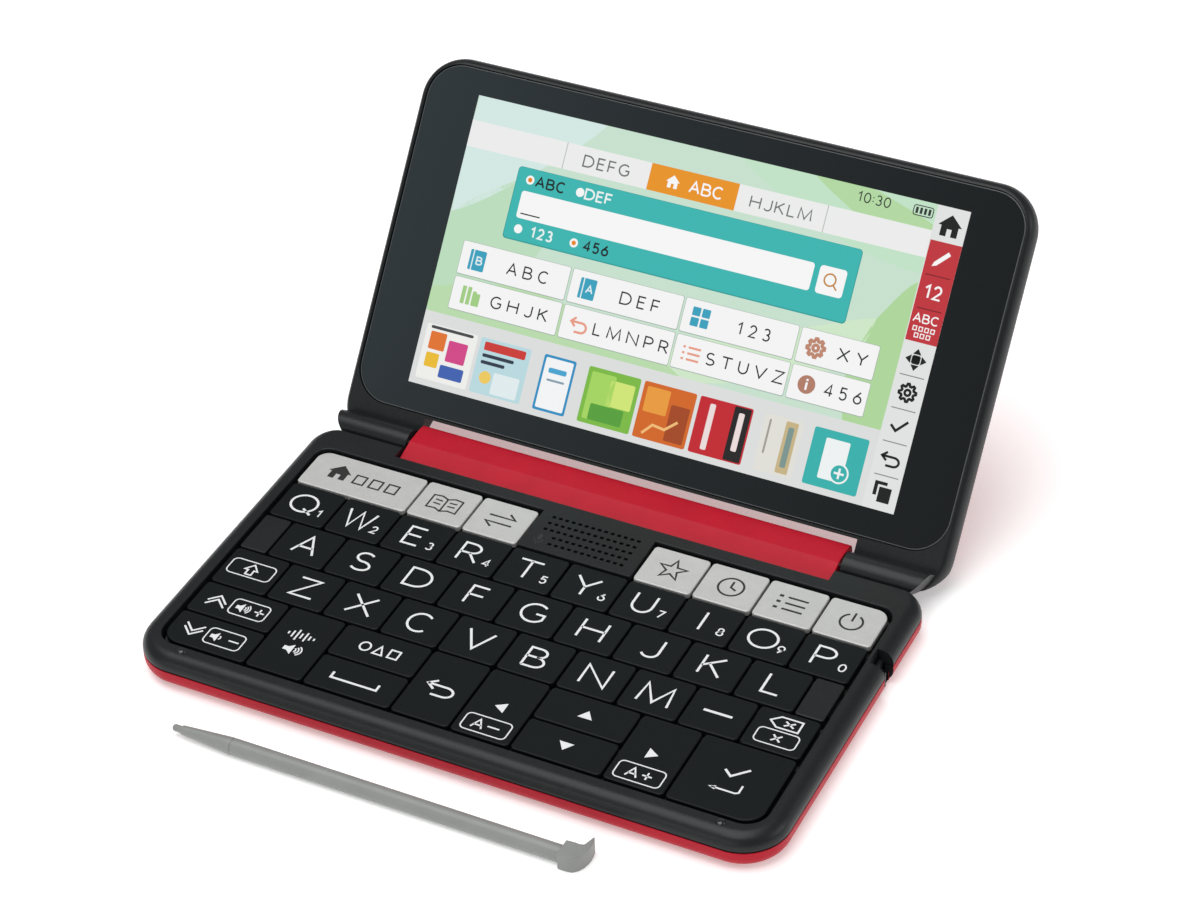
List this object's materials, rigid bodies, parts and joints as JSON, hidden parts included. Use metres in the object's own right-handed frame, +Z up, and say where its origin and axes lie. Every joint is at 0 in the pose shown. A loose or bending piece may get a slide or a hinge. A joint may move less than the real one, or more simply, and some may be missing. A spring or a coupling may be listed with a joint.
{
  "type": "electronic dictionary",
  "caption": "Pocket clamshell electronic dictionary with a letter keyboard in its base, a touch display in a lid that folds on a low hinge, and a loose hook-headed stylus.",
  "frame": {"origin": "on the underside of the base, midway across the width and midway from the base's front edge to the back of the hinge knuckles", "axes": "+X to the user's right along the hinge, +Y from the base's front edge to the hinge, +Z up"},
  "size_m": [0.1526, 0.1666, 0.0753],
  "materials": {
    "black_plastic": "satin black with a fine grain",
    "black_key": "satin black with white printed legends",
    "silver_key": "silver paint with black printed legends",
    "red_plastic": "pearl red paint with a satin gloss",
    "rubber_mat": "matt silicone rubber",
    "circuit_board": "green solder resist",
    "battery_can": "matt foil",
    "speaker_can": "matt black",
    "shaft_steel": "ground steel",
    "touch_glass": "polished, with a black border printed behind it",
    "display_glass": "backlit panel showing a menu",
    "stylus_plastic": "satin grey"
  },
  "bodies": {
    "base": {"base_lower_case": "red_plastic", "base_upper_case": "black_plastic", "key_mat": "rubber_mat", "main_board": "circuit_board", "battery_pack": "battery_can", "speaker": "speaker_can", "hinge_bar": "red_plastic", "hinge_shaft": "shaft_steel"},
    "lid": {"lid_frame": "black_plastic", "lid_back_cover": "red_plastic", "touch_panel": "touch_glass", "display_module": "display_glass"},
    "stylus": {"stylus": "stylus_plastic"},
    "key_home_body": {"key_home": "silver_key"},
    "key_book_body": {"key_book": "silver_key"},
    "key_translate_body": {"key_translate": "silver_key"},
    "key_star_body": {"key_star": "silver_key"},
    "key_history_body": {"key_history": "silver_key"},
    "key_list_body": {"key_list": "silver_key"},
    "key_power_body": {"key_power": "silver_key"},
    "key_q_body": {"key_q": "black_key"},
    "key_w_body": {"key_w": "black_key"},
    "key_e_body": {"key_e": "black_key"},
    "key_r_body": {"key_r": "black_key"},
    "key_t_body": {"key_t": "black_key"},
    "key_y_body": {"key_y": "black_key"},
    "key_u_body": {"key_u": "black_key"},
    "key_i_body": {"key_i": "black_key"},
    "key_o_body": {"key_o": "black_key"},
    "key_p_body": {"key_p": "black_key"},
    "key_a_body": {"key_a": "black_key"},
    "key_s_body": {"key_s": "black_key"},
    "key_d_body": {"key_d": "black_key"},
    "key_f_body": {"key_f": "black_key"},
    "key_g_body": {"key_g": "black_key"},
    "key_h_body": {"key_h": "black_key"},
    "key_j_body": {"key_j": "black_key"},
    "key_k_body": {"key_k": "black_key"},
    "key_l_body": {"key_l": "black_key"},
    "key_z_body": {"key_z": "black_key"},
    "key_x_body": {"key_x": "black_key"},
    "key_c_body": {"key_c": "black_key"},
    "key_v_body": {"key_v": "black_key"},
    "key_b_body": {"key_b": "black_key"},
    "key_n_body": {"key_n": "black_key"},
    "key_m_body": {"key_m": "black_key"},
    "key_shift_body": {"key_shift": "black_key"},
    "key_dash_body": {"key_dash": "black_key"},
    "key_delete_body": {"key_delete": "black_key"},
    "key_voice_body": {"key_voice": "black_key"},
    "key_back_body": {"key_back": "black_key"},
    "key_left_body": {"key_left": "black_key"},
    "key_right_body": {"key_right": "black_key"},
    "key_enter_body": {"key_enter": "black_key"},
    "key_page_up_body": {"key_page_up": "black_key"},
    "key_symbol_body": {"key_symbol": "black_key"},
    "key_up_body": {"key_up": "black_key"},
    "key_page_down_body": {"key_page_down": "black_key"},
    "key_space_body": {"key_space": "black_key"},
    "key_down_body": {"key_down": "black_key"}
  },
  "joints": [
    {"name": "lid_hinge", "type": "hinge", "parent": "base", "child": "lid", "pos_m": [0, 0.04345, 0.0061], "axis": [-1, 0, 0], "range_deg": [-127.8, 26]},
    {"name": "stylus_lift", "type": "slide", "parent": "base", "child": "stylus", "axis": [0, 0, 1], "range_m": [0, 0.05]},
    {"name": "key_home_press", "type": "slide", "parent": "base", "child": "key_home_body", "axis": [0, 0, -1], "range_m": [0, 0.0008], "stiffness_N_per_m": 600},
    {"name": "key_book_press", "type": "slide", "parent": "base", "child": "key_book_body", "axis": [0, 0, -1], "range_m": [0, 0.0008], "stiffness_N_per_m": 600},
    {"name": "key_translate_press", "type": "slide", "parent": "base", "child": "key_translate_body", "axis": [0, 0, -1], "range_m": [0, 0.0008], "stiffness_N_per_m": 600},
    {"name": "key_star_press", "type": "slide", "parent": "base", "child": "key_star_body", "axis": [0, 0, -1], "range_m": [0, 0.0008], "stiffness_N_per_m": 600},
    {"name": "key_history_press", "type": "slide", "parent": "base", "child": "key_history_body", "axis": [0, 0, -1], "range_m": [0, 0.0008], "stiffness_N_per_m": 600},
    {"name": "key_list_press", "type": "slide", "parent": "base", "child": "key_list_body", "axis": [0, 0, -1], "range_m": [0, 0.0008], "stiffness_N_per_m": 600},
    {"name": "key_power_press", "type": "slide", "parent": "base", "child": "key_power_body", "axis": [0, 0, -1], "range_m": [0, 0.0008], "stiffness_N_per_m": 600},
    {"name": "key_q_press", "type": "slide", "parent": "base", "child": "key_q_body", "axis": [0, 0, -1], "range_m": [0, 0.0008], "stiffness_N_per_m": 600},
    {"name": "key_w_press", "type": "slide", "parent": "base", "child": "key_w_body", "axis": [0, 0, -1], "range_m": [0, 0.0008], "stiffness_N_per_m": 600},
    {"name": "key_e_press", "type": "slide", "parent": "base", "child": "key_e_body", "axis": [0, 0, -1], "range_m": [0, 0.0008], "stiffness_N_per_m": 600},
    {"name": "key_r_press", "type": "slide", "parent": "base", "child": "key_r_body", "axis": [0, 0, -1], "range_m": [0, 0.0008], "stiffness_N_per_m": 600},
    {"name": "key_t_press", "type": "slide", "parent": "base", "child": "key_t_body", "axis": [0, 0, -1], "range_m": [0, 0.0008], "stiffness_N_per_m": 600},
    {"name": "key_y_press", "type": "slide", "parent": "base", "child": "key_y_body", "axis": [0, 0, -1], "range_m": [0, 0.0008], "stiffness_N_per_m": 600},
    {"name": "key_u_press", "type": "slide", "parent": "base", "child": "key_u_body", "axis": [0, 0, -1], "range_m": [0, 0.0008], "stiffness_N_per_m": 600},
    {"name": "key_i_press", "type": "slide", "parent": "base", "child": "key_i_body", "axis": [0, 0, -1], "range_m": [0, 0.0008], "stiffness_N_per_m": 600},
    {"name": "key_o_press", "type": "slide", "parent": "base", "child": "key_o_body", "axis": [0, 0, -1], "range_m": [0, 0.0008], "stiffness_N_per_m": 600},
    {"name": "key_p_press", "type": "slide", "parent": "base", "child": "key_p_body", "axis": [0, 0, -1], "range_m": [0, 0.0008], "stiffness_N_per_m": 600},
    {"name": "key_a_press", "type": "slide", "parent": "base", "child": "key_a_body", "axis": [0, 0, -1], "range_m": [0, 0.0008], "stiffness_N_per_m": 600},
    {"name": "key_s_press", "type": "slide", "parent": "base", "child": "key_s_body", "axis": [0, 0, -1], "range_m": [0, 0.0008], "stiffness_N_per_m": 600},
    {"name": "key_d_press", "type": "slide", "parent": "base", "child": "key_d_body", "axis": [0, 0, -1], "range_m": [0, 0.0008], "stiffness_N_per_m": 600},
    {"name": "key_f_press", "type": "slide", "parent": "base", "child": "key_f_body", "axis": [0, 0, -1], "range_m": [0, 0.0008], "stiffness_N_per_m": 600},
    {"name": "key_g_press", "type": "slide", "parent": "base", "child": "key_g_body", "axis": [0, 0, -1], "range_m": [0, 0.0008], "stiffness_N_per_m": 600},
    {"name": "key_h_press", "type": "slide", "parent": "base", "child": "key_h_body", "axis": [0, 0, -1], "range_m": [0, 0.0008], "stiffness_N_per_m": 600},
    {"name": "key_j_press", "type": "slide", "parent": "base", "child": "key_j_body", "axis": [0, 0, -1], "range_m": [0, 0.0008], "stiffness_N_per_m": 600},
    {"name": "key_k_press", "type": "slide", "parent": "base", "child": "key_k_body", "axis": [0, 0, -1], "range_m": [0, 0.0008], "stiffness_N_per_m": 600},
    {"name": "key_l_press", "type": "slide", "parent": "base", "child": "key_l_body", "axis": [0, 0, -1], "range_m": [0, 0.0008], "stiffness_N_per_m": 600},
    {"name": "key_z_press", "type": "slide", "parent": "base", "child": "key_z_body", "axis": [0, 0, -1], "range_m": [0, 0.0008], "stiffness_N_per_m": 600},
    {"name": "key_x_press", "type": "slide", "parent": "base", "child": "key_x_body", "axis": [0, 0, -1], "range_m": [0, 0.0008], "stiffness_N_per_m": 600},
    {"name": "key_c_press", "type": "slide", "parent": "base", "child": "key_c_body", "axis": [0, 0, -1], "range_m": [0, 0.0008], "stiffness_N_per_m": 600},
    {"name": "key_v_press", "type": "slide", "parent": "base", "child": "key_v_body", "axis": [0, 0, -1], "range_m": [0, 0.0008], "stiffness_N_per_m": 600},
    {"name": "key_b_press", "type": "slide", "parent": "base", "child": "key_b_body", "axis": [0, 0, -1], "range_m": [0, 0.0008], "stiffness_N_per_m": 600},
    {"name": "key_n_press", "type": "slide", "parent": "base", "child": "key_n_body", "axis": [0, 0, -1], "range_m": [0, 0.0008], "stiffness_N_per_m": 600},
    {"name": "key_m_press", "type": "slide", "parent": "base", "child": "key_m_body", "axis": [0, 0, -1], "range_m": [0, 0.0008], "stiffness_N_per_m": 600},
    {"name": "key_shift_press", "type": "slide", "parent": "base", "child": "key_shift_body", "axis": [0, 0, -1], "range_m": [0, 0.0008], "stiffness_N_per_m": 600},
    {"name": "key_dash_press", "type": "slide", "parent": "base", "child": "key_dash_body", "axis": [0, 0, -1], "range_m": [0, 0.0008], "stiffness_N_per_m": 600},
    {"name": "key_delete_press", "type": "slide", "parent": "base", "child": "key_delete_body", "axis": [0, 0, -1], "range_m": [0, 0.0008], "stiffness_N_per_m": 600},
    {"name": "key_voice_press", "type": "slide", "parent": "base", "child": "key_voice_body", "axis": [0, 0, -1], "range_m": [0, 0.0008], "stiffness_N_per_m": 600},
    {"name": "key_back_press", "type": "slide", "parent": "base", "child": "key_back_body", "axis": [0, 0, -1], "range_m": [0, 0.0008], "stiffness_N_per_m": 600},
    {"name": "key_left_press", "type": "slide", "parent": "base", "child": "key_left_body", "axis": [0, 0, -1], "range_m": [0, 0.0008], "stiffness_N_per_m": 600},
    {"name": "key_right_press", "type": "slide", "parent": "base", "child": "key_right_body", "axis": [0, 0, -1], "range_m": [0, 0.0008], "stiffness_N_per_m": 600},
    {"name": "key_enter_press", "type": "slide", "parent": "base", "child": "key_enter_body", "axis": [0, 0, -1], "range_m": [0, 0.0008], "stiffness_N_per_m": 600},
    {"name": "key_page_up_press", "type": "slide", "parent": "base", "child": "key_page_up_body", "axis": [0, 0, -1], "range_m": [0, 0.0008], "stiffness_N_per_m": 600},
    {"name": "key_symbol_press", "type": "slide", "parent": "base", "child": "key_symbol_body", "axis": [0, 0, -1], "range_m": [0, 0.0008], "stiffness_N_per_m": 600},
    {"name": "key_up_press", "type": "slide", "parent": "base", "child": "key_up_body", "axis": [0, 0, -1], "range_m": [0, 0.0008], "stiffness_N_per_m": 600},
    {"name": "key_page_down_press", "type": "slide", "parent": "base", "child": "key_page_down_body", "axis": [0, 0, -1], "range_m": [0, 0.0008], "stiffness_N_per_m": 600},
    {"name": "key_space_press", "type": "slide", "parent": "base", "child": "key_space_body", "axis": [0, 0, -1], "range_m": [0, 0.0008], "stiffness_N_per_m": 600},
    {"name": "key_down_press", "type": "slide", "parent": "base", "child": "key_down_body", "axis": [0, 0, -1], "range_m": [0, 0.0008], "stiffness_N_per_m": 600}
  ]
}
